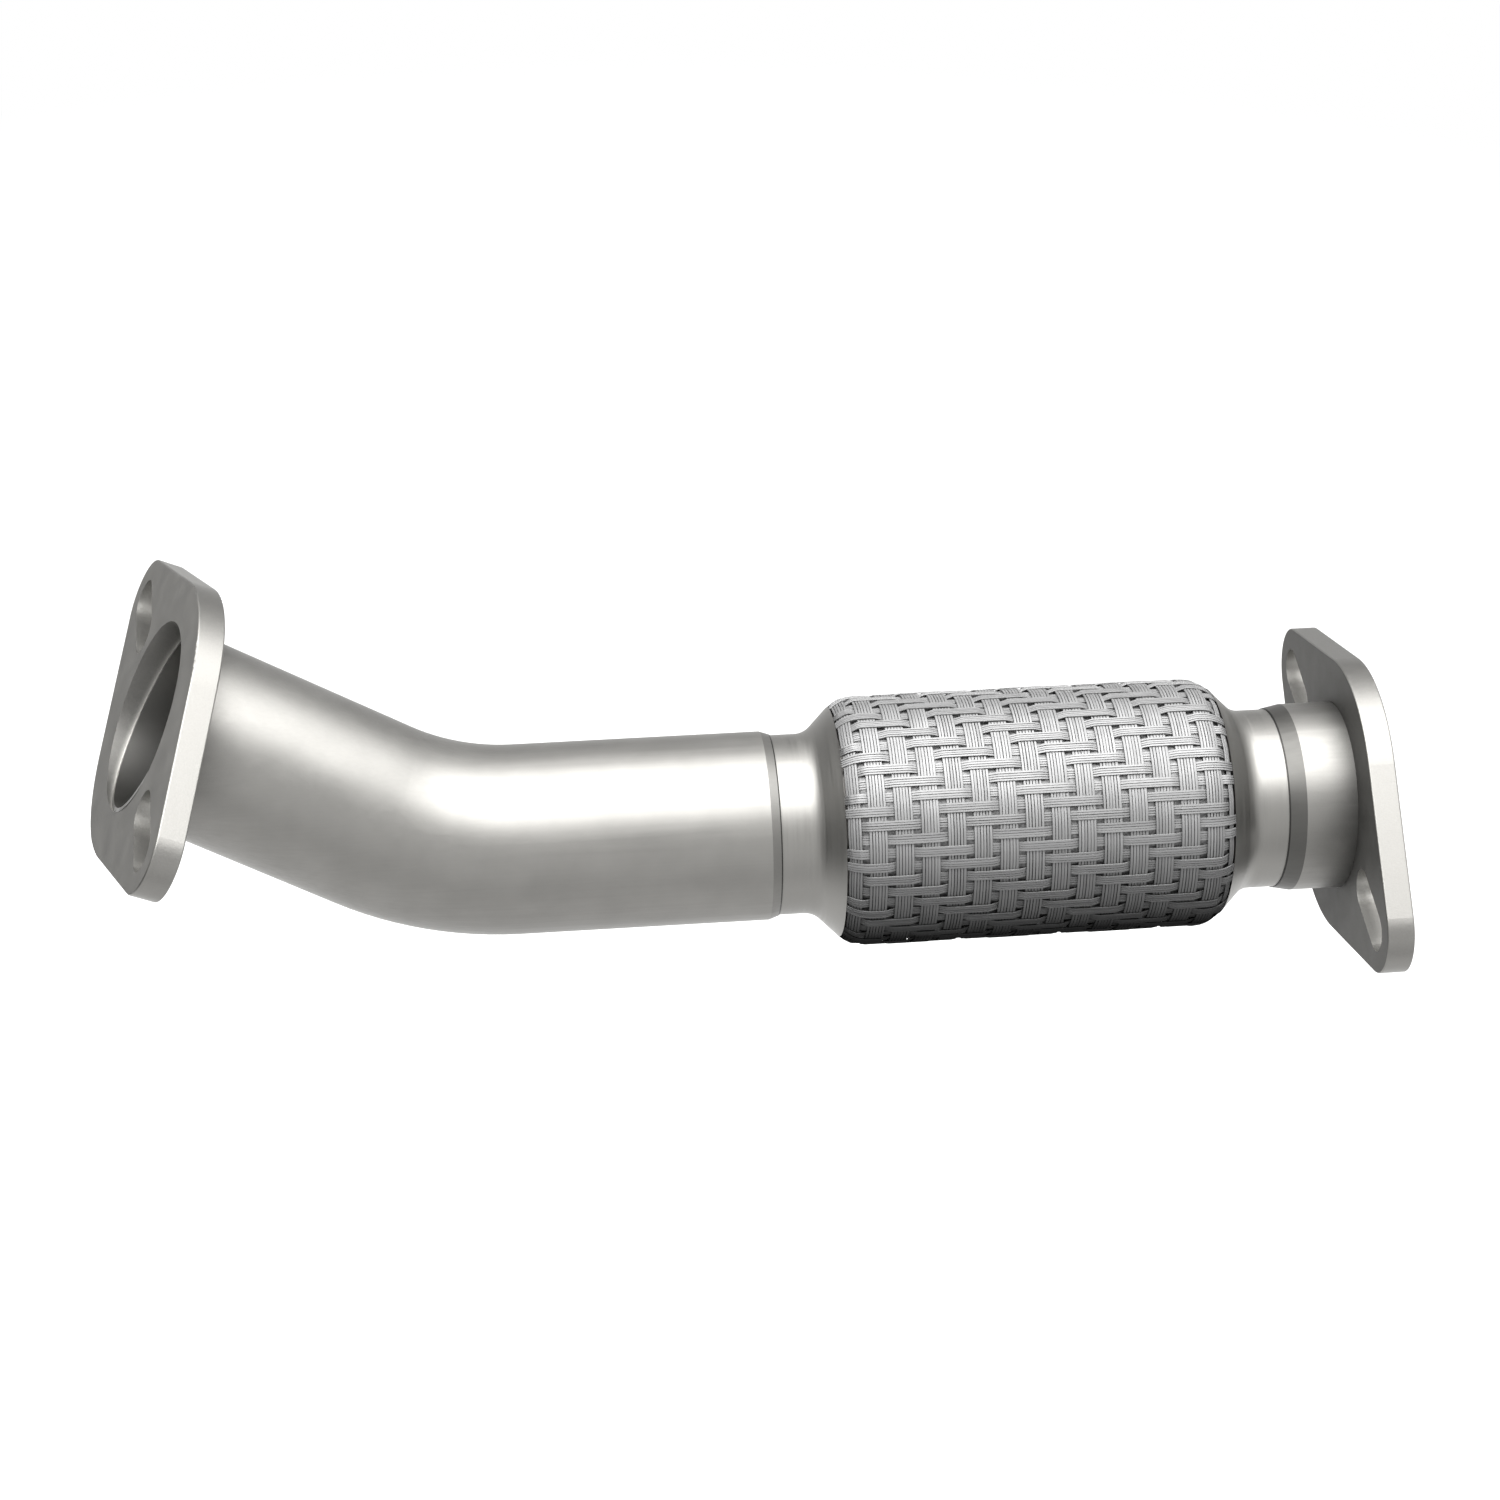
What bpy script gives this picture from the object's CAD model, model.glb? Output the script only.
"""Looks of the exhaust front pipe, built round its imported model. Lengths are in metres."""

import math
import random

import bpy
from bpy.props import FloatProperty, FloatVectorProperty, IntProperty, PointerProperty
from mathutils import Matrix, Vector


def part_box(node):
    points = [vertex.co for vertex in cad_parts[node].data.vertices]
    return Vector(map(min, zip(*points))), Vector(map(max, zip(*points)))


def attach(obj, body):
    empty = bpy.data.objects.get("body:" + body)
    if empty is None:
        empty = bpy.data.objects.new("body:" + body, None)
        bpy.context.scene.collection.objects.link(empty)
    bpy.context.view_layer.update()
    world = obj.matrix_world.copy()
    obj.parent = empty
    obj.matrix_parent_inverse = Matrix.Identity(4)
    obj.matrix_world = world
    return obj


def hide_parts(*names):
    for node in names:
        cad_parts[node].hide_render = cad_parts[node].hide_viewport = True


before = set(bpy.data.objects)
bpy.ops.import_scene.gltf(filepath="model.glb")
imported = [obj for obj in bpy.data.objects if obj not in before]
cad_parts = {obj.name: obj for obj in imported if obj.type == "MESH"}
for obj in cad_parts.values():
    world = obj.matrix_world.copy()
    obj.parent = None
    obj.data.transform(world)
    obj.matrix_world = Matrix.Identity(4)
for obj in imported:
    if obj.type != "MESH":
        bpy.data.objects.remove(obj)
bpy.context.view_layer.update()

bl_info = {
    "name": "Exhaust front pipe",
    "version": (1, 0, 0),
    "blender": (4, 5, 0),
    "location": "View3D > Sidebar > Front pipe",
    "description": "Woven braid, steel finishes and studio for an exhaust front pipe",
    "category": "Object",
}

MM = 0.001
BODY = "root"
SEED = 7

# The braid's own envelope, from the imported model
BRAID_LOW, BRAID_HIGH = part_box("outer_braid")
BRAID_RADIUS = (BRAID_HIGH.z - BRAID_LOW.z) / 2
# Rounded shoulder at each rim of the braid: its arc runs along the surface and its run along the axis
SHOULDER_RADIUS = 12.5 * MM
SHOULDER_ANGLE = math.pi / 4
SHOULDER_ARC = SHOULDER_RADIUS * SHOULDER_ANGLE
SHOULDER_RUN = SHOULDER_RADIUS * math.sin(SHOULDER_ANGLE)
STRAIGHT_RUN = BRAID_HIGH.x - BRAID_LOW.x - 2 * SHOULDER_RUN
BRAID_REACH = STRAIGHT_RUN + 2 * SHOULDER_ARC
# Steps in which a shoulder is drawn, and how far a wire or sleeve stays from the very rim
SHOULDER_STEPS = 4
RIM_GAP = 0.001 * MM

# Two over, two under: the weave repeats after this many strips or hoops
WEAVE_REPEAT = 4
HOOPS = 15
# Place of the first gap between hoops along the axis, in hoop pitches from the front rim
FIRST_GAP = 0.667
HOOP_PITCH = (BRAID_HIGH.x - BRAID_LOW.x) / HOOPS
FIRST_HOOP = (FIRST_GAP - 0.5) * HOOP_PITCH + SHOULDER_ARC - SHOULDER_RUN


def linear(code, alpha=1.0):
    """Linear colour of an sRGB hex code such as #b4b1ac."""
    values = [int(code[i:i + 2], 16) / 255 for i in (1, 3, 5)]
    lit = [v / 12.92 if v <= 0.04045 else ((v + 0.055) / 1.055) ** 2.4 for v in values]
    return (*lit, alpha)


class BraidSettings(bpy.types.PropertyGroup):
    """Sizes and colours of the woven sleeve."""

    hoop_pitch: FloatProperty(
        name="Hoop pitch",
        description="Distance along the sleeve from one hoop to the next",
        default=HOOP_PITCH,
        unit="LENGTH",
    )
    hoop_width: FloatProperty(
        name="Hoop width",
        description="Width of one hoop, over all its wires",
        default=6.4 * MM,
        unit="LENGTH",
    )
    hoop_start: FloatProperty(
        name="First hoop",
        description="Distance from the front rim to the middle of the first hoop",
        default=FIRST_HOOP,
        unit="LENGTH",
    )
    hoop_wires: IntProperty(
        name="Wires in a hoop",
        description="Wires that lie side by side in one hoop",
        default=6,
    )
    strips: IntProperty(
        name="Strips",
        description="Strips along the sleeve, a multiple of four",
        default=56,
    )
    strip_width: FloatProperty(
        name="Strip width",
        description="Width of one strip, over all its wires",
        default=3.5 * MM,
        unit="LENGTH",
    )
    strip_wires: IntProperty(
        name="Wires in a strip",
        description="Wires that lie side by side in one strip",
        default=4,
    )
    strip_start: FloatProperty(
        name="First strip",
        description="Angle of the first strip round the sleeve, from +Y towards +Z",
        default=math.radians(130.15),
        unit="ROTATION",
    )
    wire_color: FloatVectorProperty(
        name="Wire colour",
        description="Colour of the stainless wire",
        subtype="COLOR",
        size=4,
        default=linear("#888888"),
    )
    backing_color: FloatVectorProperty(
        name="Backing colour",
        description="Colour of the mesh under the weave",
        subtype="COLOR",
        size=4,
        default=linear("#6a6a6a"),
    )


class SteelSettings(bpy.types.PropertyGroup):
    """Colours of the tubes and plates."""

    tube_color: FloatVectorProperty(
        name="Tube colour",
        description="Colour of the drawn tube",
        subtype="COLOR",
        size=4,
        default=linear("#807f7c"),
    )
    collar_color: FloatVectorProperty(
        name="Collar colour",
        description="Colour of the spun collars",
        subtype="COLOR",
        size=4,
        default=linear("#81807d"),
    )
    plate_color: FloatVectorProperty(
        name="Plate colour",
        description="Colour of the flange plates",
        subtype="COLOR",
        size=4,
        default=linear("#7b7a77"),
    )
    inner_color: FloatVectorProperty(
        name="Inner colour",
        description="Colour of the bellows, liner and end rings",
        subtype="COLOR",
        size=4,
        default=linear("#7d7b78"),
    )


class StudioSettings(bpy.types.PropertyGroup):
    """Floor, lamps and camera."""

    floor_drop: FloatProperty(
        name="Floor drop",
        description="Height of the pipe's axis over the floor",
        default=1.1,
        unit="LENGTH",
    )
    floor_color: FloatVectorProperty(
        name="Floor colour",
        description="Colour of the floor",
        subtype="COLOR",
        size=4,
        default=linear("#cfcfcf"),
    )
    floor_far_color: FloatVectorProperty(
        name="Far floor colour",
        description="Colour of the floor away from the object",
        subtype="COLOR",
        size=4,
        default=linear("#f6f6f6"),
    )
    sky_color: FloatVectorProperty(
        name="Room colour",
        description="Colour of the room beyond the floor",
        subtype="COLOR",
        size=4,
        default=linear("#ffffff"),
    )
    shade_color: FloatVectorProperty(
        name="Dark card colour",
        description="Colour of the card beyond the front flange",
        subtype="COLOR",
        size=4,
        default=linear("#202020"),
    )
    back_color: FloatVectorProperty(
        name="Grey card colour",
        description="Colour of the card behind the pipe",
        subtype="COLOR",
        size=4,
        default=linear("#a8a8a8"),
    )
    key_power: FloatProperty(
        name="Overhead power",
        description="Power of the overhead softbox",
        default=52.0,
        unit="POWER",
    )
    side_power: FloatProperty(
        name="Side power",
        description="Power of the softbox beyond the rear flange",
        default=8.4,
        unit="POWER",
    )
    front_power: FloatProperty(
        name="Front power",
        description="Power of the softbox in front of the pipe",
        default=4.8,
        unit="POWER",
    )
    focal_length: FloatProperty(
        name="Focal length",
        description="Focal length of the camera, on a 36 mm sensor",
        default=75.34,
        unit="CAMERA",
    )
    camera_distance: FloatProperty(
        name="Camera distance",
        description="Distance from the camera to the point it looks at",
        default=1.0838,
        unit="LENGTH",
    )
    camera_azimuth: FloatProperty(
        name="Camera azimuth",
        description="Angle of the view round the vertical; 0 looks along +Y",
        default=math.radians(-7.194),
        unit="ROTATION",
    )
    camera_elevation: FloatProperty(
        name="Camera elevation",
        description="Angle of the camera above the horizon",
        default=math.radians(44.99),
        unit="ROTATION",
    )
    camera_roll: FloatProperty(
        name="Camera roll",
        description="Turn of the camera about its own line of sight",
        default=math.radians(2.067),
        unit="ROTATION",
    )


def add(tree, kind, settings=None, links=None):
    """Add one node to a tree. A link is a socket, a node, for its first output in use, or a plain value."""
    node = tree.nodes.new(kind)
    for name, value in (settings or {}).items():
        setattr(node, name, value)
    for name, value in (links or {}).items():
        socket = node.inputs[name]
        if isinstance(value, bpy.types.Node):
            value = next(output for output in value.outputs if output.enabled)
        if isinstance(value, bpy.types.NodeSocket):
            tree.links.new(value, socket)
        else:
            socket.default_value = value
    return node


def new_material(name):
    """Empty node material and its tree."""
    material = bpy.data.materials.new(name)
    material.use_nodes = True
    material.node_tree.nodes.clear()
    return material, material.node_tree


def cover(tree, sockets):
    """End a tree in its shader, with these sockets linked or set, and the output."""
    shader = add(tree, "ShaderNodeBsdfPrincipled", links=sockets)
    add(tree, "ShaderNodeOutputMaterial", links={"Surface": shader})


def pattern(tree, spacing, detail):
    """Random pattern whose blotches have a real size along each axis. Detail counts its finer octaves."""
    place = add(tree, "ShaderNodeTexCoord")
    scaled = add(tree, "ShaderNodeMapping", links={
        "Vector": place.outputs["Object"], "Scale": [1 / size for size in spacing],
    })
    return add(tree, "ShaderNodeTexNoise", links={"Vector": scaled, "Scale": 1.0, "Detail": detail})


def between(low, high, start=0.25, end=0.75):
    """Map range sockets that take start..end to low..high. Random patterns lie mostly in the middle half."""
    return {"From Min": start, "From Max": end, "To Min": low, "To Max": high}


def scaled_color(color, share):
    """Colour made darker or lighter, up to white."""
    return [min(1.0, c * share) for c in color[:3]] + [1.0]


def toned(tree, shape, color, dark, light):
    """Colour that varies round its own value with a random pattern."""
    factor = add(tree, "ShaderNodeMapRange", links={"Value": shape, **between(0.0, 1.0)})
    return add(tree, "ShaderNodeMix", {"data_type": "RGBA"}, {
        "Factor": factor, "A": scaled_color(color, dark), "B": scaled_color(color, light),
    })


# How near another surface counts, the ambient occlusion of a full corner and of open ground, and its rays
CORNER_REACH = 30 * MM
CORNER_SHUT = 0.2
CORNER_OPEN = 0.85
CORNER_SAMPLES = 8


def cornered(tree, tone, level, reach=CORNER_REACH):
    """Colour scaled towards a level where other surfaces stand close: dirt gathers there, or a tool rubs."""
    corner = add(tree, "ShaderNodeAmbientOcclusion", {"samples": CORNER_SAMPLES}, {"Distance": reach})
    share = add(tree, "ShaderNodeMapRange", links={
        "Value": corner.outputs["AO"], **between(level, 1.0, CORNER_SHUT, CORNER_OPEN),
    })
    return add(tree, "ShaderNodeVectorMath", {"operation": "SCALE"}, {0: tone, "Scale": share})


def banded(tree, tone, along, middle, half, band_color):
    """Colour with one plain band across it, at a place along X."""
    band = add(tree, "ShaderNodeMath", {"operation": "COMPARE"}, {0: along, 1: middle, 2: half})
    return add(tree, "ShaderNodeMix", {"data_type": "RGBA"}, {"Factor": band, "A": tone, "B": band_color})


# How far from its mouth a tube's bore is told from its outside
BORE_LOOK = 110 * MM


def bore_mask(tree, mouth, heading):
    """1 where the surface faces the tube's own axis, near the tube's mouth, and 0 elsewhere."""
    place = add(tree, "ShaderNodeTexCoord")
    apart = add(tree, "ShaderNodeVectorMath", {"operation": "SUBTRACT"}, {
        0: place.outputs["Object"], 1: mouth,
    })
    along = add(tree, "ShaderNodeVectorMath", {"operation": "PROJECT"}, {0: apart, 1: heading})
    outward = add(tree, "ShaderNodeVectorMath", {"operation": "SUBTRACT"}, {0: apart, 1: along})
    facing = add(tree, "ShaderNodeVectorMath", {"operation": "DOT_PRODUCT"}, {
        0: outward, 1: place.outputs["Normal"],
    })
    inside = add(tree, "ShaderNodeMath", {"operation": "LESS_THAN"}, {0: facing, 1: 0.0})
    reach = add(tree, "ShaderNodeVectorMath", {"operation": "LENGTH"}, {0: apart})
    near = add(tree, "ShaderNodeMath", {"operation": "LESS_THAN"}, {0: reach, 1: BORE_LOOK})
    return add(tree, "ShaderNodeMath", {"operation": "MULTIPLY"}, {0: inside, 1: near})


# Drawn tube: length and width of its lines, and sizes of its mottle and grain
TUBE_LINES = (60 * MM, 0.9 * MM, 0.9 * MM)
TUBE_MOTTLE = (14 * MM,) * 3
TUBE_GRAIN = (0.5 * MM,) * 3
TUBE_RELIEF = {"Strength": 0.12, "Distance": 0.05 * MM}
# Its ranges of tone and roughness, its tone in corners, and the roughness of its bore
TUBE_TONES = (0.93, 1.05)
TUBE_ROUGHNESS = (0.42, 0.52)
TUBE_CORNERS = 0.2
BORE_ROUGHNESS = 0.34
# Half width and tone of the dark line where a slip end stands off the neck inside it
CRACK = 0.4 * MM
CRACK_TONE = 0.15


def tube_material(color, end, bevel, bevel_tone, mouth, heading):
    """Drawn aluminised steel tube: fine lines along it, a faint mottle, and a dark bevel where it was cut.

    The bore is smoother than the outside, so that it mirrors its own dark depth.
    """
    material, tree = new_material("Aluminised steel, drawn")
    draw = pattern(tree, TUBE_LINES, detail=3.0)
    mottle = pattern(tree, TUBE_MOTTLE, detail=4.0)
    grain = pattern(tree, TUBE_GRAIN, detail=2.0)
    place = add(tree, "ShaderNodeTexCoord")
    along = add(tree, "ShaderNodeSeparateXYZ", links={"Vector": place.outputs["Object"]}).outputs["X"]
    tone = toned(tree, mottle, color, *TUBE_TONES)
    tone = banded(tree, tone, along, end + bevel / 2, abs(bevel) / 2, scaled_color(color, bevel_tone))
    tone = banded(tree, tone, along, end, CRACK, scaled_color(color, CRACK_TONE))
    rough = add(tree, "ShaderNodeMix", {"data_type": "FLOAT"}, {
        "Factor": bore_mask(tree, mouth, heading),
        "A": add(tree, "ShaderNodeMapRange", links={"Value": draw, **between(*TUBE_ROUGHNESS)}),
        "B": BORE_ROUGHNESS,
    })
    cover(tree, {
        "Base Color": cornered(tree, tone, TUBE_CORNERS),
        "Roughness": rough,
        "Normal": add(tree, "ShaderNodeBump", links={"Height": grain, **TUBE_RELIEF}),
        "Metallic": 1.0,
    })
    return material


# Spun collar: width and length of its rings, their bumps, ranges of tone and roughness, tone in corners
SPUN_RINGS = (0.7 * MM, 30 * MM, 30 * MM)
SPUN_RELIEF = {"Strength": 0.10, "Distance": 0.05 * MM}
SPUN_TONES = (0.95, 1.04)
SPUN_ROUGHNESS = (0.40, 0.50)
SPUN_CORNERS = 0.4


def collar_material(color):
    """Spun stainless steel. The roller leaves fine rings about the axis, with a soft sheen across them."""
    material, tree = new_material("Stainless steel, spun")
    spin = pattern(tree, SPUN_RINGS, detail=3.0)
    cover(tree, {
        "Base Color": cornered(tree, toned(tree, spin, color, *SPUN_TONES), SPUN_CORNERS),
        "Roughness": add(tree, "ShaderNodeMapRange", links={"Value": spin, **between(*SPUN_ROUGHNESS)}),
        "Normal": add(tree, "ShaderNodeBump", links={"Height": spin, **SPUN_RELIEF}),
        "Metallic": 1.0,
    })
    return material


# Plate: sizes of the scale's mottle and of the cut edge's grain
SCALE_MOTTLE = (9 * MM,) * 3
PLATE_GRAIN = (0.6 * MM,) * 3
PLATE_RELIEF = {"Strength": 0.25, "Distance": 0.08 * MM}
# How squarely a surface looks along the plate's normal where edge gives way to face
FACE_FACING = (0.80, 0.95)
# The face's lightest scale beside its darkest, its range of roughness and its tone in corners
FACE_SPREAD = 1.15
FACE_ROUGHNESS = (0.60, 0.70)
FACE_CORNERS = 0.3
# The cut edge's ranges of tone and roughness
EDGE_TONES = (0.94, 1.06)
EDGE_ROUGHNESS = (0.38, 0.48)
# Tone of the walls of slots and bores, which the punch rubs bright, and how near their far sides are
BURNISHED = 4.4
SLOT_REACH = 15 * MM


def plate_material(color, normal, scale_tone):
    """Blanked steel plate. Its faces keep dull mill scale, and its cut edge is bright with a fine grain."""
    material, tree = new_material("Steel plate, blanked")
    place = add(tree, "ShaderNodeTexCoord")
    facing = add(tree, "ShaderNodeVectorMath", {"operation": "DOT_PRODUCT"}, {
        0: place.outputs["Normal"], 1: normal,
    })
    facing = add(tree, "ShaderNodeMath", {"operation": "ABSOLUTE"}, {0: facing})
    face = add(tree, "ShaderNodeMapRange", links={"Value": facing, **between(0.0, 1.0, *FACE_FACING)})
    mottle = pattern(tree, SCALE_MOTTLE, detail=6.0)
    grain = pattern(tree, PLATE_GRAIN, detail=3.0)
    face_tone = toned(tree, mottle, color, scale_tone, scale_tone * FACE_SPREAD)
    edge_tone = toned(tree, grain, color, *EDGE_TONES)
    tone = add(tree, "ShaderNodeMix", {"data_type": "RGBA"}, {
        "Factor": face,
        "A": cornered(tree, edge_tone, BURNISHED, SLOT_REACH),
        "B": cornered(tree, face_tone, FACE_CORNERS),
    })
    rough = add(tree, "ShaderNodeMix", {"data_type": "FLOAT"}, {
        "Factor": face,
        "A": add(tree, "ShaderNodeMapRange", links={"Value": grain, **between(*EDGE_ROUGHNESS)}),
        "B": add(tree, "ShaderNodeMapRange", links={"Value": mottle, **between(*FACE_ROUGHNESS)}),
    })
    bump = add(tree, "ShaderNodeBump", links={"Height": grain, **PLATE_RELIEF})
    cover(tree, {"Base Color": tone, "Roughness": rough, "Normal": bump, "Metallic": 1.0})
    return material


# The sleeve's underside: its tone, and the heights where the dirt starts and ends, as shares of the radius
UNDERSIDE_TONE = 0.12
UNDERSIDE_FROM = -0.45
UNDERSIDE_TO = 0.50


def dulled(tree, tone):
    """Colour darkened towards the sleeve's underside, where heat and road dirt dull it."""
    place = add(tree, "ShaderNodeTexCoord")
    height = add(tree, "ShaderNodeSeparateXYZ", links={"Vector": place.outputs["Object"]})
    low = UNDERSIDE_FROM * BRAID_RADIUS
    high = UNDERSIDE_TO * BRAID_RADIUS
    clean = add(tree, "ShaderNodeMapRange", links={
        "Value": height.outputs["Z"], **between(UNDERSIDE_TONE, 1.0, low, high),
    })
    return add(tree, "ShaderNodeVectorMath", {"operation": "SCALE"}, {0: tone, "Scale": clean})


# Drawn wire: size of the mottle in its roughness, and its ranges of tone and roughness
WIRE_NAME = "Stainless wire, drawn"
WIRE_MOTTLE = (5 * MM,) * 3
WIRE_TONES = (0.90, 1.06)
WIRE_ROUGHNESS = (0.64, 0.72)
# Tint of the wire seen edge-on: packed wires shade each other there
WIRE_GRAZE = linear("#3f3f3f")


def wire_material(color):
    """Drawn stainless wire, bright. Each wire has its own tone."""
    material, tree = new_material(WIRE_NAME)
    wire = add(tree, "ShaderNodeNewGeometry")
    mottle = pattern(tree, WIRE_MOTTLE, detail=3.0)
    dark, light = WIRE_TONES
    tone = add(tree, "ShaderNodeMix", {"data_type": "RGBA"}, {
        "Factor": wire.outputs["Random Per Island"],
        "A": scaled_color(color, dark), "B": scaled_color(color, light),
    })
    cover(tree, {
        "Base Color": dulled(tree, tone),
        "Roughness": add(tree, "ShaderNodeMapRange", links={"Value": mottle, **between(*WIRE_ROUGHNESS)}),
        "Metallic": 1.0,
        "Specular Tint": WIRE_GRAZE,
    })
    return material


# Knitted mesh: spacing of its loops, their bumps, range of tone, and roughness
MESH_LOOPS = 1.0 * MM
MESH_RELIEF = {"Strength": 0.5, "Distance": 0.2 * MM}
MESH_TONES = (0.7, 1.1)
MESH_ROUGHNESS = 0.55


def backing_material(color):
    """Knitted stainless mesh, dull with soot and in shadow. Its loops are drawn 1 mm wide to show."""
    material, tree = new_material("Stainless mesh, knitted")
    place = add(tree, "ShaderNodeTexCoord")
    scaled = add(tree, "ShaderNodeMapping", links={
        "Vector": place.outputs["Object"], "Scale": (1 / MESH_LOOPS,) * 3,
    })
    loops = add(tree, "ShaderNodeTexVoronoi", links={"Vector": scaled, "Scale": 1.0})
    cover(tree, {
        "Base Color": dulled(tree, toned(tree, loops, color, *MESH_TONES)),
        "Roughness": MESH_ROUGHNESS,
        "Normal": add(tree, "ShaderNodeBump", links={"Height": loops, **MESH_RELIEF}),
        "Metallic": 1.0,
    })
    return material


# Rolled strip: width and length of its rings, and its ranges of tone and roughness
ROLLED_RINGS = (0.5 * MM, 20 * MM, 20 * MM)
ROLLED_TONES = (0.88, 1.05)
ROLLED_ROUGHNESS = (0.32, 0.46)


def inner_material(color):
    """Rolled stainless strip, as used for bellows and liner, with light rolling rings."""
    material, tree = new_material("Stainless strip, rolled")
    roll = pattern(tree, ROLLED_RINGS, detail=3.0)
    cover(tree, {
        "Base Color": toned(tree, roll, color, *ROLLED_TONES),
        "Roughness": add(tree, "ShaderNodeMapRange", links={"Value": roll, **between(*ROLLED_ROUGHNESS)}),
        "Metallic": 1.0,
    })
    return material


def dress(names, material):
    """Give CAD nodes a finish."""
    for name in names:
        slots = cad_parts[name].data.materials
        slots.clear()
        slots.append(material)


def sleeve_point(reach, depth):
    """Point (x, radius) of the sleeve, at a reach along its surface from the front rim and a depth below."""
    if reach < SHOULDER_ARC:
        angle = SHOULDER_ANGLE - reach / SHOULDER_RADIUS
        middle = BRAID_LOW.x + SHOULDER_RUN
    elif reach > BRAID_REACH - SHOULDER_ARC:
        angle = (BRAID_REACH - reach) / SHOULDER_RADIUS - SHOULDER_ANGLE
        middle = BRAID_HIGH.x - SHOULDER_RUN
    else:
        return BRAID_LOW.x + SHOULDER_RUN + reach - SHOULDER_ARC, BRAID_RADIUS - depth
    radius = SHOULDER_RADIUS - depth
    return middle - radius * math.sin(angle), BRAID_RADIUS - SHOULDER_RADIUS + radius * math.cos(angle)


def around(x, radius, angle):
    """Point at an angle round the X axis, from +Y towards +Z."""
    return Vector((x, radius * math.cos(angle), radius * math.sin(angle)))


def smooth(value):
    """Smooth step from 0 to 1."""
    value = max(0.0, min(1.0, value))
    return value * value * (3 - 2 * value)


def new_piece(name, verts, faces, material, sides=0):
    """Mesh that rides on the body and stands for the braid's solid. Wires with sides get crisp edges."""
    mesh = bpy.data.meshes.new(name)
    mesh.from_pydata(verts, [], faces)
    mesh.polygons.foreach_set("use_smooth", [True] * len(mesh.polygons))
    if sides:
        # An edge whose ends have the same place in the section runs along the wire
        lengthwise = [a % sides == b % sides for a, b in mesh.edge_keys]
        mesh.edges.foreach_set("use_edge_sharp", lengthwise)
    mesh.materials.append(material)
    mesh.validate()
    piece = bpy.data.objects.new(name, mesh)
    bpy.context.scene.collection.objects.link(piece)
    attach(piece, BODY)
    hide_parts("outer_braid")


# Section of a wire, as (across, up) shares of its half width: the braiding presses its top nearly flat
WIRE_FLAT = 0.55
WIRE_CORNER = 0.78
WIRE_SECTION = (
    (-1.0, 0.0), (-WIRE_CORNER, WIRE_FLAT), (WIRE_CORNER, WIRE_FLAT),
    (1.0, 0.0), (WIRE_CORNER, -WIRE_FLAT), (-WIRE_CORNER, -WIRE_FLAT),
)


def ring_faces(first, second):
    """Quads between two rings of vertex numbers."""
    count = len(first)
    return [(first[i], first[(i + 1) % count], second[(i + 1) % count], second[i]) for i in range(count)]


# Hoops: rings of points in one weave repeat, depth under the envelope, and how far strips press them down
HOOP_SEGMENTS_PER_REPEAT = 8
HOOP_DEPTH = 0.75 * MM
HOOP_CRIMP = 0.20 * MM
# Looseness of a hoop's wires: share of their room that they fill, and how far they stray and sink, in mm
HOOP_FILL = (0.82, 1.0)
HOOP_STRAY = (-0.05, 0.05)
HOOP_SINK = (-0.04, 0.06)


def hoop_wires(settings):
    """Closed wires round the sleeve, pressed down where strips pass over them."""
    rng = random.Random(SEED)
    repeats = settings.strips // WEAVE_REPEAT
    segments = repeats * HOOP_SEGMENTS_PER_REPEAT
    wire_pitch = settings.hoop_width / settings.hoop_wires
    radius = wire_pitch * 0.5
    # One hoop past the last whole one, as some of its wires may still fit
    hoops = int((BRAID_REACH - settings.hoop_start) / settings.hoop_pitch) + 2
    verts = []
    faces = []
    for hoop in range(hoops):
        middle = settings.hoop_start + hoop * settings.hoop_pitch
        for wire in range(settings.hoop_wires):
            own = radius * rng.uniform(*HOOP_FILL)
            shift = (wire - (settings.hoop_wires - 1) / 2) * wire_pitch
            reach = middle + shift + rng.uniform(*HOOP_STRAY) * MM
            sink = rng.uniform(*HOOP_SINK) * MM
            if not own < reach < BRAID_REACH - own:
                continue
            rings = []
            for step in range(segments):
                angle = 2 * math.pi * step / segments
                strip = angle * settings.strips / (2 * math.pi)
                shown = 0.5 - 0.5 * math.cos(2 * math.pi * (strip - hoop + 0.5) / WEAVE_REPEAT)
                depth = HOOP_DEPTH + HOOP_CRIMP * (1 - 2 * shown) + sink
                ring = []
                for across, up in WIRE_SECTION:
                    x, r = sleeve_point(reach + own * across, depth - own * up)
                    ring.append(len(verts))
                    verts.append(around(x, r, angle + settings.strip_start))
                rings.append(ring)
            for step in range(segments):
                faces += ring_faces(rings[step], rings[(step + 1) % segments])
    return verts, faces


# Depth of a strip over and under the hoops, and half the length of the dip between, in hoop pitches
STRIP_HIGH = 0.24 * MM
STRIP_LOW = 1.35 * MM
RAMP = 0.24
# Places along a dip, from its start at -1 to its end at 1, that get a ring of points
RAMP_PLACES = (-1.0, -0.5, 0.0, 0.5, 1.0)
# Looseness of a strip's wires, as of a hoop's
STRIP_FILL = (0.84, 1.0)
STRIP_STRAY = (-0.04, 0.04)
STRIP_SINK = (0.0, 0.10)


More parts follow.
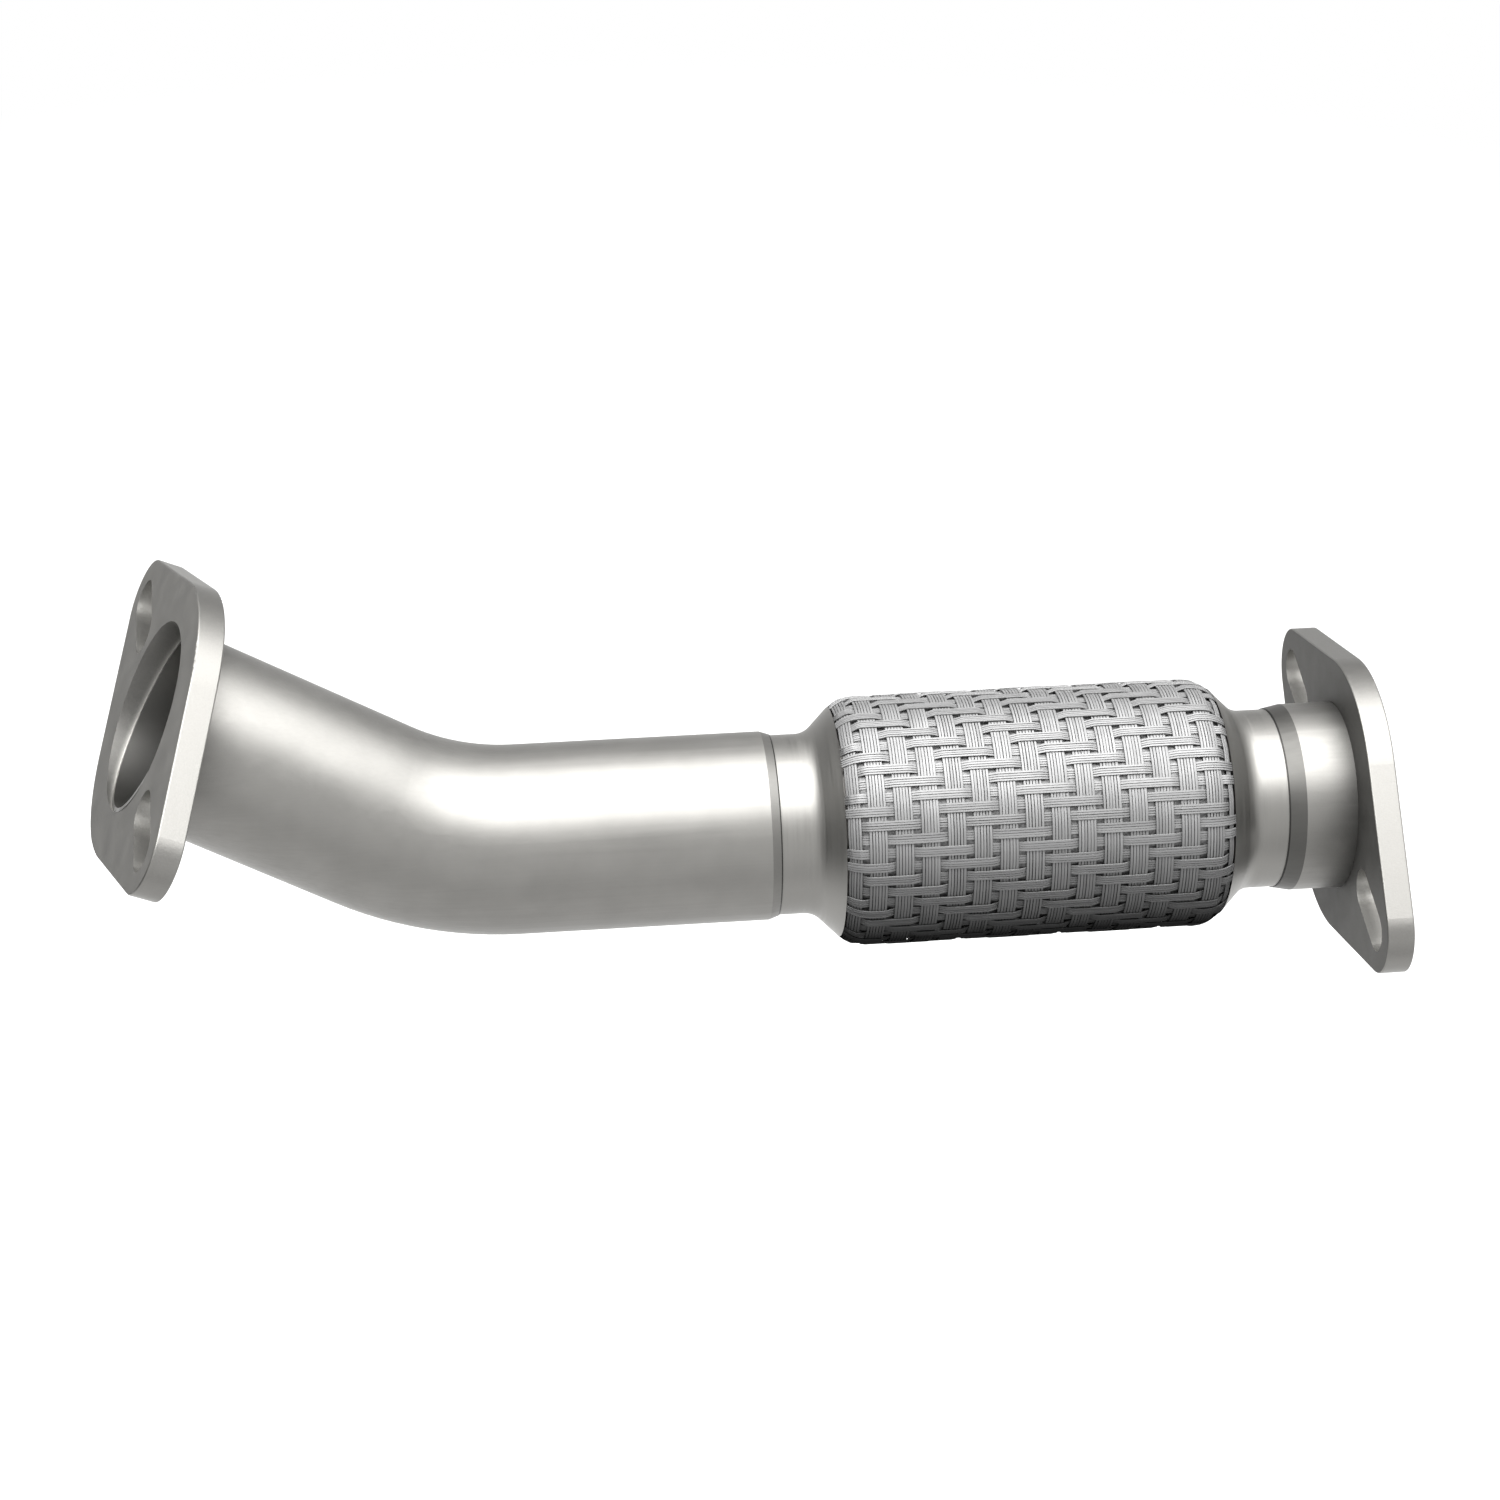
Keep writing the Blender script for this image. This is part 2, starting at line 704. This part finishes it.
def strip_stations(start, pitch, strip):
    """Reaches along a strip where it needs a ring of points: close together where it dips."""
    stations = {RIM_GAP, BRAID_REACH - RIM_GAP}
    for step in range(1, SHOULDER_STEPS + 1):
        reach = SHOULDER_ARC * step / SHOULDER_STEPS
        stations |= {reach, BRAID_REACH - reach}
    # The first dip counted lies well before the rim, and the last past the end
    first = (strip % WEAVE_REPEAT) - 2 * WEAVE_REPEAT
    last = int(BRAID_REACH / pitch) + 2
    for crossing in range(first, last, WEAVE_REPEAT // 2):
        gap = crossing - 0.5
        for part in RAMP_PLACES:
            stations.add(start + (gap + part * RAMP) * pitch)
        stations.add(start + (gap + 1) * pitch)
    return sorted(s for s in stations if 0 < s < BRAID_REACH)


# Places in the weave repeat where a strip rises and falls, and the repeat's start before the first hoop
RISE_PLACE = 1
FALL_PLACE = 3
REPEAT_START = 1.5


def lift(place):
    """1 where a strip lies over the hoops and 0 where under, from its place in hoop pitches."""
    place = (place + REPEAT_START) % WEAVE_REPEAT
    rise = smooth((place - RISE_PLACE + RAMP) / (2 * RAMP))
    fall = smooth((place - FALL_PLACE + RAMP) / (2 * RAMP))
    return rise - fall


def strip_wires(settings):
    """Wires along the sleeve, two hoops over and two under, one hoop on from strip to strip."""
    rng = random.Random(SEED + 1)
    wire_pitch = settings.strip_width / settings.strip_wires
    radius = wire_pitch * 0.5
    verts = []
    faces = []
    for strip in range(settings.strips):
        stations = strip_stations(settings.hoop_start, settings.hoop_pitch, strip)
        middle = settings.strip_start + 2 * math.pi * strip / settings.strips
        for wire in range(settings.strip_wires):
            own = radius * rng.uniform(*STRIP_FILL)
            shift = (wire - (settings.strip_wires - 1) / 2) * wire_pitch + rng.uniform(*STRIP_STRAY) * MM
            sink = rng.uniform(*STRIP_SINK) * MM
            rings = []
            for reach in stations:
                place = (reach - settings.hoop_start) / settings.hoop_pitch - strip
                high = lift(place)
                depth = STRIP_LOW + (STRIP_HIGH - STRIP_LOW) * high + sink
                ring = []
                for across, up in WIRE_SECTION:
                    x, r = sleeve_point(reach, depth - own * up)
                    ring.append(len(verts))
                    verts.append(around(x, r, middle + (shift + own * across) / BRAID_RADIUS))
                rings.append(ring)
            for step in range(len(rings) - 1):
                faces += ring_faces(rings[step + 1], rings[step])
            faces.append(rings[0])
            faces.append(rings[-1][::-1])
    return verts, faces


# Mesh sleeve: depth of its outside under the braid's envelope, its wall, and its steps round the axis
BACKING_DEPTH = 1.6 * MM
BACKING_WALL = 0.6 * MM
BACKING_SEGMENTS = 96


def backing_sleeve():
    """Closed sleeve under the weave, so that nothing shows through its gaps."""
    reaches = [RIM_GAP] + [SHOULDER_ARC * i / SHOULDER_STEPS for i in range(1, SHOULDER_STEPS + 1)]
    reaches += [BRAID_REACH - r for r in reversed(reaches)]
    profile = [sleeve_point(reach, BACKING_DEPTH) for reach in reaches]
    profile += [sleeve_point(reach, BACKING_DEPTH + BACKING_WALL) for reach in reversed(reaches)]
    verts = []
    rings = []
    for step in range(BACKING_SEGMENTS):
        angle = 2 * math.pi * step / BACKING_SEGMENTS
        rings.append(list(range(len(verts), len(verts) + len(profile))))
        verts += [around(x, r, angle) for x, r in profile]
    faces = []
    for step in range(BACKING_SEGMENTS):
        faces += ring_faces(rings[step], rings[(step + 1) % BACKING_SEGMENTS])
    return verts, faces


class FRONTPIPE_OT_hoops(bpy.types.Operator):
    """Make the hoops of the woven sleeve"""

    bl_idname = "frontpipe.hoops"
    bl_label = "Braid hoops"

    def execute(self, context):
        settings = context.scene.front_pipe_braid
        verts, faces = hoop_wires(settings)
        new_piece("braid_hoops", verts, faces, wire_finish(settings), len(WIRE_SECTION))
        return {"FINISHED"}


class FRONTPIPE_OT_strips(bpy.types.Operator):
    """Make the strips that are woven over and under the hoops"""

    bl_idname = "frontpipe.strips"
    bl_label = "Braid strips"

    def execute(self, context):
        settings = context.scene.front_pipe_braid
        verts, faces = strip_wires(settings)
        new_piece("braid_strips", verts, faces, wire_finish(settings), len(WIRE_SECTION))
        return {"FINISHED"}


class FRONTPIPE_OT_backing(bpy.types.Operator):
    """Make the mesh sleeve under the weave"""

    bl_idname = "frontpipe.backing"
    bl_label = "Braid backing"

    def execute(self, context):
        verts, faces = backing_sleeve()
        material = backing_material(context.scene.front_pipe_braid.backing_color)
        new_piece("braid_backing", verts, faces, material)
        return {"FINISHED"}


def wire_finish(settings):
    """The wire's material, made once."""
    made = bpy.data.materials.get(WIRE_NAME)
    return made or wire_material(settings.wire_color)


# Length of the bevel on the bent tube's slip end and on the stub's, and its tone beside the drawn tube's
FRONT_BEVEL = 3.4 * MM
FRONT_BEVEL_TONE = 0.75
REAR_BEVEL = 6.0 * MM
REAR_BEVEL_TONE = 0.40
# Tone of the scale on each flange's faces, beside its cut edge
FRONT_SCALE_TONE = 0.90
REAR_SCALE_TONE = 0.40
# Direction of the bent tube's leg, out through the front flange
BEND = math.radians(30.6)
LEAN = math.radians(14.0)
LEG_HEADING = (-math.cos(BEND), math.sin(BEND) * math.sin(LEAN), math.sin(BEND) * math.cos(LEAN))
# Directions that the outer faces of the flanges look in
REAR_NORMAL = (1.0, 0.0, 0.0)
FRONT_PITCH = math.radians(27.7)
FRONT_NORMAL = (-math.cos(FRONT_PITCH), 0.0, math.sin(FRONT_PITCH))


class FRONTPIPE_OT_tubes(bpy.types.Operator):
    """Finish the bent tube and the rear stub"""

    bl_idname = "frontpipe.tubes"
    bl_label = "Tubes"

    def execute(self, context):
        color = context.scene.front_pipe_steel.tube_color
        slip_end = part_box("front_pipe")[1].x
        mouth = sum(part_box("front_flange"), Vector()) / 2
        finish = tube_material(color, slip_end, -FRONT_BEVEL, FRONT_BEVEL_TONE, mouth, LEG_HEADING)
        dress(("front_pipe",), finish)
        stub_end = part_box("rear_stub")[0].x
        finish = tube_material(color, stub_end, REAR_BEVEL, REAR_BEVEL_TONE, Vector(), REAR_NORMAL)
        dress(("rear_stub",), finish)
        return {"FINISHED"}


class FRONTPIPE_OT_collars(bpy.types.Operator):
    """Finish the two collars of the flexible section"""

    bl_idname = "frontpipe.collars"
    bl_label = "Collars"

    def execute(self, context):
        material = collar_material(context.scene.front_pipe_steel.collar_color)
        dress(("front_collar", "rear_collar"), material)
        return {"FINISHED"}


class FRONTPIPE_OT_flanges(bpy.types.Operator):
    """Finish the two flange plates"""

    bl_idname = "frontpipe.flanges"
    bl_label = "Flanges"

    def execute(self, context):
        color = context.scene.front_pipe_steel.plate_color
        dress(("rear_flange",), plate_material(color, REAR_NORMAL, REAR_SCALE_TONE))
        dress(("front_flange",), plate_material(color, FRONT_NORMAL, FRONT_SCALE_TONE))
        return {"FINISHED"}


class FRONTPIPE_OT_inner(bpy.types.Operator):
    """Finish the bellows, the liner and the end rings"""

    bl_idname = "frontpipe.inner"
    bl_label = "Inner parts"

    def execute(self, context):
        names = ("bellows", "interlock_liner", "front_end_ring", "rear_end_ring")
        dress(names, inner_material(context.scene.front_pipe_steel.inner_color))
        return {"FINISHED"}


# The floor's side, and the place from which its paint and its fade to plain white are measured
FLOOR_SIDE = 40.0
FLOOR_MIDDLE = (-0.22, -0.3, 0.0)
# Distances over which the paint gets lighter, and over which the floor comes to be seen as plain white
FLOOR_PAINT = (0.5, 1.1)
FLOOR_FADE = (1.0, 2.5)
# Roughness of matt paint, and the board's specular level
MATT = {"Roughness": 0.9}
BOARD_SHEEN = 0.2


def floor_material(near, far):
    """Matt painted board, lighter away from the object. Far off, what is seen of it is plain white."""
    material, tree = new_material("Painted board, matt")
    place = add(tree, "ShaderNodeTexCoord")
    reach = add(tree, "ShaderNodeVectorMath", {"operation": "DISTANCE"}, {
        0: place.outputs["Object"], 1: FLOOR_MIDDLE,
    })
    spray = add(tree, "ShaderNodeMapRange", links={"Value": reach, **between(0.0, 1.0, *FLOOR_PAINT)})
    tone = add(tree, "ShaderNodeMix", {"data_type": "RGBA"}, {"Factor": spray, "A": near, "B": far})
    board = add(tree, "ShaderNodeBsdfPrincipled", links={
        "Base Color": tone, "Specular IOR Level": BOARD_SHEEN, **MATT,
    })
    white = add(tree, "ShaderNodeEmission", links={"Strength": 1.0})
    ray = add(tree, "ShaderNodeLightPath")
    seen = add(tree, "ShaderNodeMath", {"operation": "MAXIMUM"}, {
        0: ray.outputs["Is Camera Ray"], 1: ray.outputs["Is Glossy Ray"],
    })
    seen = add(tree, "ShaderNodeMath", {"operation": "MAXIMUM"}, {
        0: seen, 1: ray.outputs["Is Transmission Ray"],
    })
    far_off = add(tree, "ShaderNodeMapRange", links={"Value": reach, **between(0.0, 1.0, *FLOOR_FADE)})
    fade = add(tree, "ShaderNodeMath", {"operation": "MULTIPLY"}, {0: seen, 1: far_off})
    surface = add(tree, "ShaderNodeMixShader", links={0: fade, 1: board, 2: white})
    add(tree, "ShaderNodeOutputMaterial", links={"Surface": surface})
    return material


# Point that the camera looks at, width of its sensor in mm, and the nearest distance that it sees
CAMERA_TARGET = Vector((-219.40, 3.75, 34.25)) * MM
SENSOR_WIDTH = 36
NEAREST_SEEN = 0.01
# Offsets of the lamps and cards from that point, their widths and heights, and the way the cards' backs look
OVERHEAD = (0.0, 0.14, 1.1)
OVERHEAD_SIZE = (1.8, 1.35)
SIDE_LAMP = (1.6, 0.0, 0.2)
SIDE_LAMP_SIZE = (1.4, 2.4)
FRONT_LAMP = (0.0, -1.9, 0.35)
FRONT_LAMP_SIZE = (3.0, 1.2)
DARK_CARD = (-1.5, 0.4, 0.1)
DARK_CARD_SIZE = (3.2, 1.5)
DARK_CARD_BACK = (-1.0, 0.0, 0.0)
GREY_CARD = (0.0, 2.8, 0.3)
GREY_CARD_SIZE = (5.0, 2.0)
GREY_CARD_BACK = (0.0, 1.0, 0.0)
# The overhead softbox is brighter in its middle: size of that part, and its power as a share of the whole's
OVERHEAD_MIDDLE_SIZE = (1.0, 0.6)
OVERHEAD_MIDDLE_SHARE = 0.35


def stage_object(name, data, place):
    """Object of the studio at a place."""
    holder = bpy.data.objects.new(name, data)
    holder.location = place
    bpy.context.scene.collection.objects.link(holder)
    return holder


def area_lamp(name, offset, size, power):
    """Soft rectangular lamp, aimed at the camera's target from an offset and hidden from the camera."""
    lamp = bpy.data.lights.new(name, "AREA")
    lamp.shape = "RECTANGLE"
    lamp.size, lamp.size_y = size
    lamp.energy = power
    holder = stage_object(name, lamp, CAMERA_TARGET + Vector(offset))
    holder.rotation_mode = "QUATERNION"
    holder.rotation_quaternion = (-Vector(offset)).to_track_quat("-Z", "Y")
    holder.visible_camera = False


def reflected_card(name, offset, back, size, color):
    """Upright matt card that only the metal sees, so it darkens reflections and leaves the floor alone."""
    material, tree = new_material(name)
    cover(tree, {"Base Color": color, **MATT})
    side = Vector(back).cross(Vector((0.0, 0.0, 1.0))) * size[0] / 2
    rise = Vector((0.0, 0.0, size[1] / 2))
    mesh = bpy.data.meshes.new(name)
    mesh.from_pydata([-side - rise, side - rise, side + rise, rise - side], [], [(0, 1, 2, 3)])
    mesh.materials.append(material)
    card = stage_object(name, mesh, CAMERA_TARGET + Vector(offset))
    card.visible_camera = False
    card.visible_diffuse = False
    card.visible_shadow = False


def aimed_camera(settings):
    """Camera that looks at its target from the angles and the distance in the settings."""
    camera = bpy.data.cameras.new("camera")
    camera.sensor_width = SENSOR_WIDTH
    camera.lens = settings.focal_length
    camera.clip_start = NEAREST_SEEN
    azimuth = settings.camera_azimuth
    elevation = settings.camera_elevation
    ahead = Vector((
        -math.sin(azimuth) * math.cos(elevation),
        math.cos(azimuth) * math.cos(elevation),
        -math.sin(elevation),
    ))
    upright = ahead.to_track_quat("-Z", "Y").to_matrix()
    roll = Matrix.Rotation(settings.camera_roll, 3, "Z")
    place = CAMERA_TARGET - ahead * settings.camera_distance
    holder = stage_object("camera", camera, place)
    holder.matrix_world = Matrix.Translation(place) @ (upright @ roll).to_4x4()
    bpy.context.scene.camera = holder


class FRONTPIPE_OT_stage(bpy.types.Operator):
    """Make the floor, the room, the lamps and the camera"""

    bl_idname = "frontpipe.stage"
    bl_label = "Studio"

    def execute(self, context):
        settings = context.scene.front_pipe_studio
        half = FLOOR_SIDE / 2
        mesh = bpy.data.meshes.new("floor")
        corners = [(-half, -half), (half, -half), (half, half), (-half, half)]
        mesh.from_pydata([(x, y, 0.0) for x, y in corners], [], [(0, 1, 2, 3)])
        mesh.materials.append(floor_material(settings.floor_color, settings.floor_far_color))
        stage_object("floor", mesh, (0.0, 0.0, -settings.floor_drop))

        world = bpy.data.worlds.new("room")
        world.use_nodes = True
        world.node_tree.nodes["Background"].inputs["Color"].default_value = settings.sky_color
        context.scene.world = world

        area_lamp("overhead", OVERHEAD, OVERHEAD_SIZE, settings.key_power)
        middle_power = settings.key_power * OVERHEAD_MIDDLE_SHARE
        area_lamp("overhead middle", OVERHEAD, OVERHEAD_MIDDLE_SIZE, middle_power)
        area_lamp("side", SIDE_LAMP, SIDE_LAMP_SIZE, settings.side_power)
        area_lamp("front", FRONT_LAMP, FRONT_LAMP_SIZE, settings.front_power)
        reflected_card("dark card", DARK_CARD, DARK_CARD_BACK, DARK_CARD_SIZE, settings.shade_color)
        reflected_card("grey card", GREY_CARD, GREY_CARD_BACK, GREY_CARD_SIZE, settings.back_color)

        aimed_camera(settings)
        context.scene.view_settings.view_transform = "Standard"
        return {"FINISHED"}


class FRONTPIPE_PT_panel(bpy.types.Panel):
    """Panel that lists the pieces and the studio"""

    bl_idname = "FRONTPIPE_PT_panel"
    bl_label = "Front pipe"
    bl_space_type = "VIEW_3D"
    bl_region_type = "UI"
    bl_category = "Front pipe"

    def draw(self, context):
        for step in STEPS:
            self.layout.operator(step.bl_idname)


STEPS = (
    FRONTPIPE_OT_hoops,
    FRONTPIPE_OT_strips,
    FRONTPIPE_OT_backing,
    FRONTPIPE_OT_tubes,
    FRONTPIPE_OT_collars,
    FRONTPIPE_OT_flanges,
    FRONTPIPE_OT_inner,
    FRONTPIPE_OT_stage,
)
GROUPS = {
    "front_pipe_braid": BraidSettings,
    "front_pipe_steel": SteelSettings,
    "front_pipe_studio": StudioSettings,
}


def register():
    for group in GROUPS.values():
        bpy.utils.register_class(group)
    for name, group in GROUPS.items():
        setattr(bpy.types.Scene, name, PointerProperty(type=group))
    for step in STEPS:
        bpy.utils.register_class(step)
    bpy.utils.register_class(FRONTPIPE_PT_panel)


def unregister():
    bpy.utils.unregister_class(FRONTPIPE_PT_panel)
    for step in reversed(STEPS):
        bpy.utils.unregister_class(step)
    for name in GROUPS:
        delattr(bpy.types.Scene, name)
    for group in GROUPS.values():
        bpy.utils.unregister_class(group)


def main():
    register()
    bpy.ops.frontpipe.hoops()
    bpy.ops.frontpipe.strips()
    bpy.ops.frontpipe.backing()
    bpy.ops.frontpipe.tubes()
    bpy.ops.frontpipe.collars()
    bpy.ops.frontpipe.flanges()
    bpy.ops.frontpipe.inner()
    bpy.ops.frontpipe.stage()


if __name__ == "__main__":
    main()
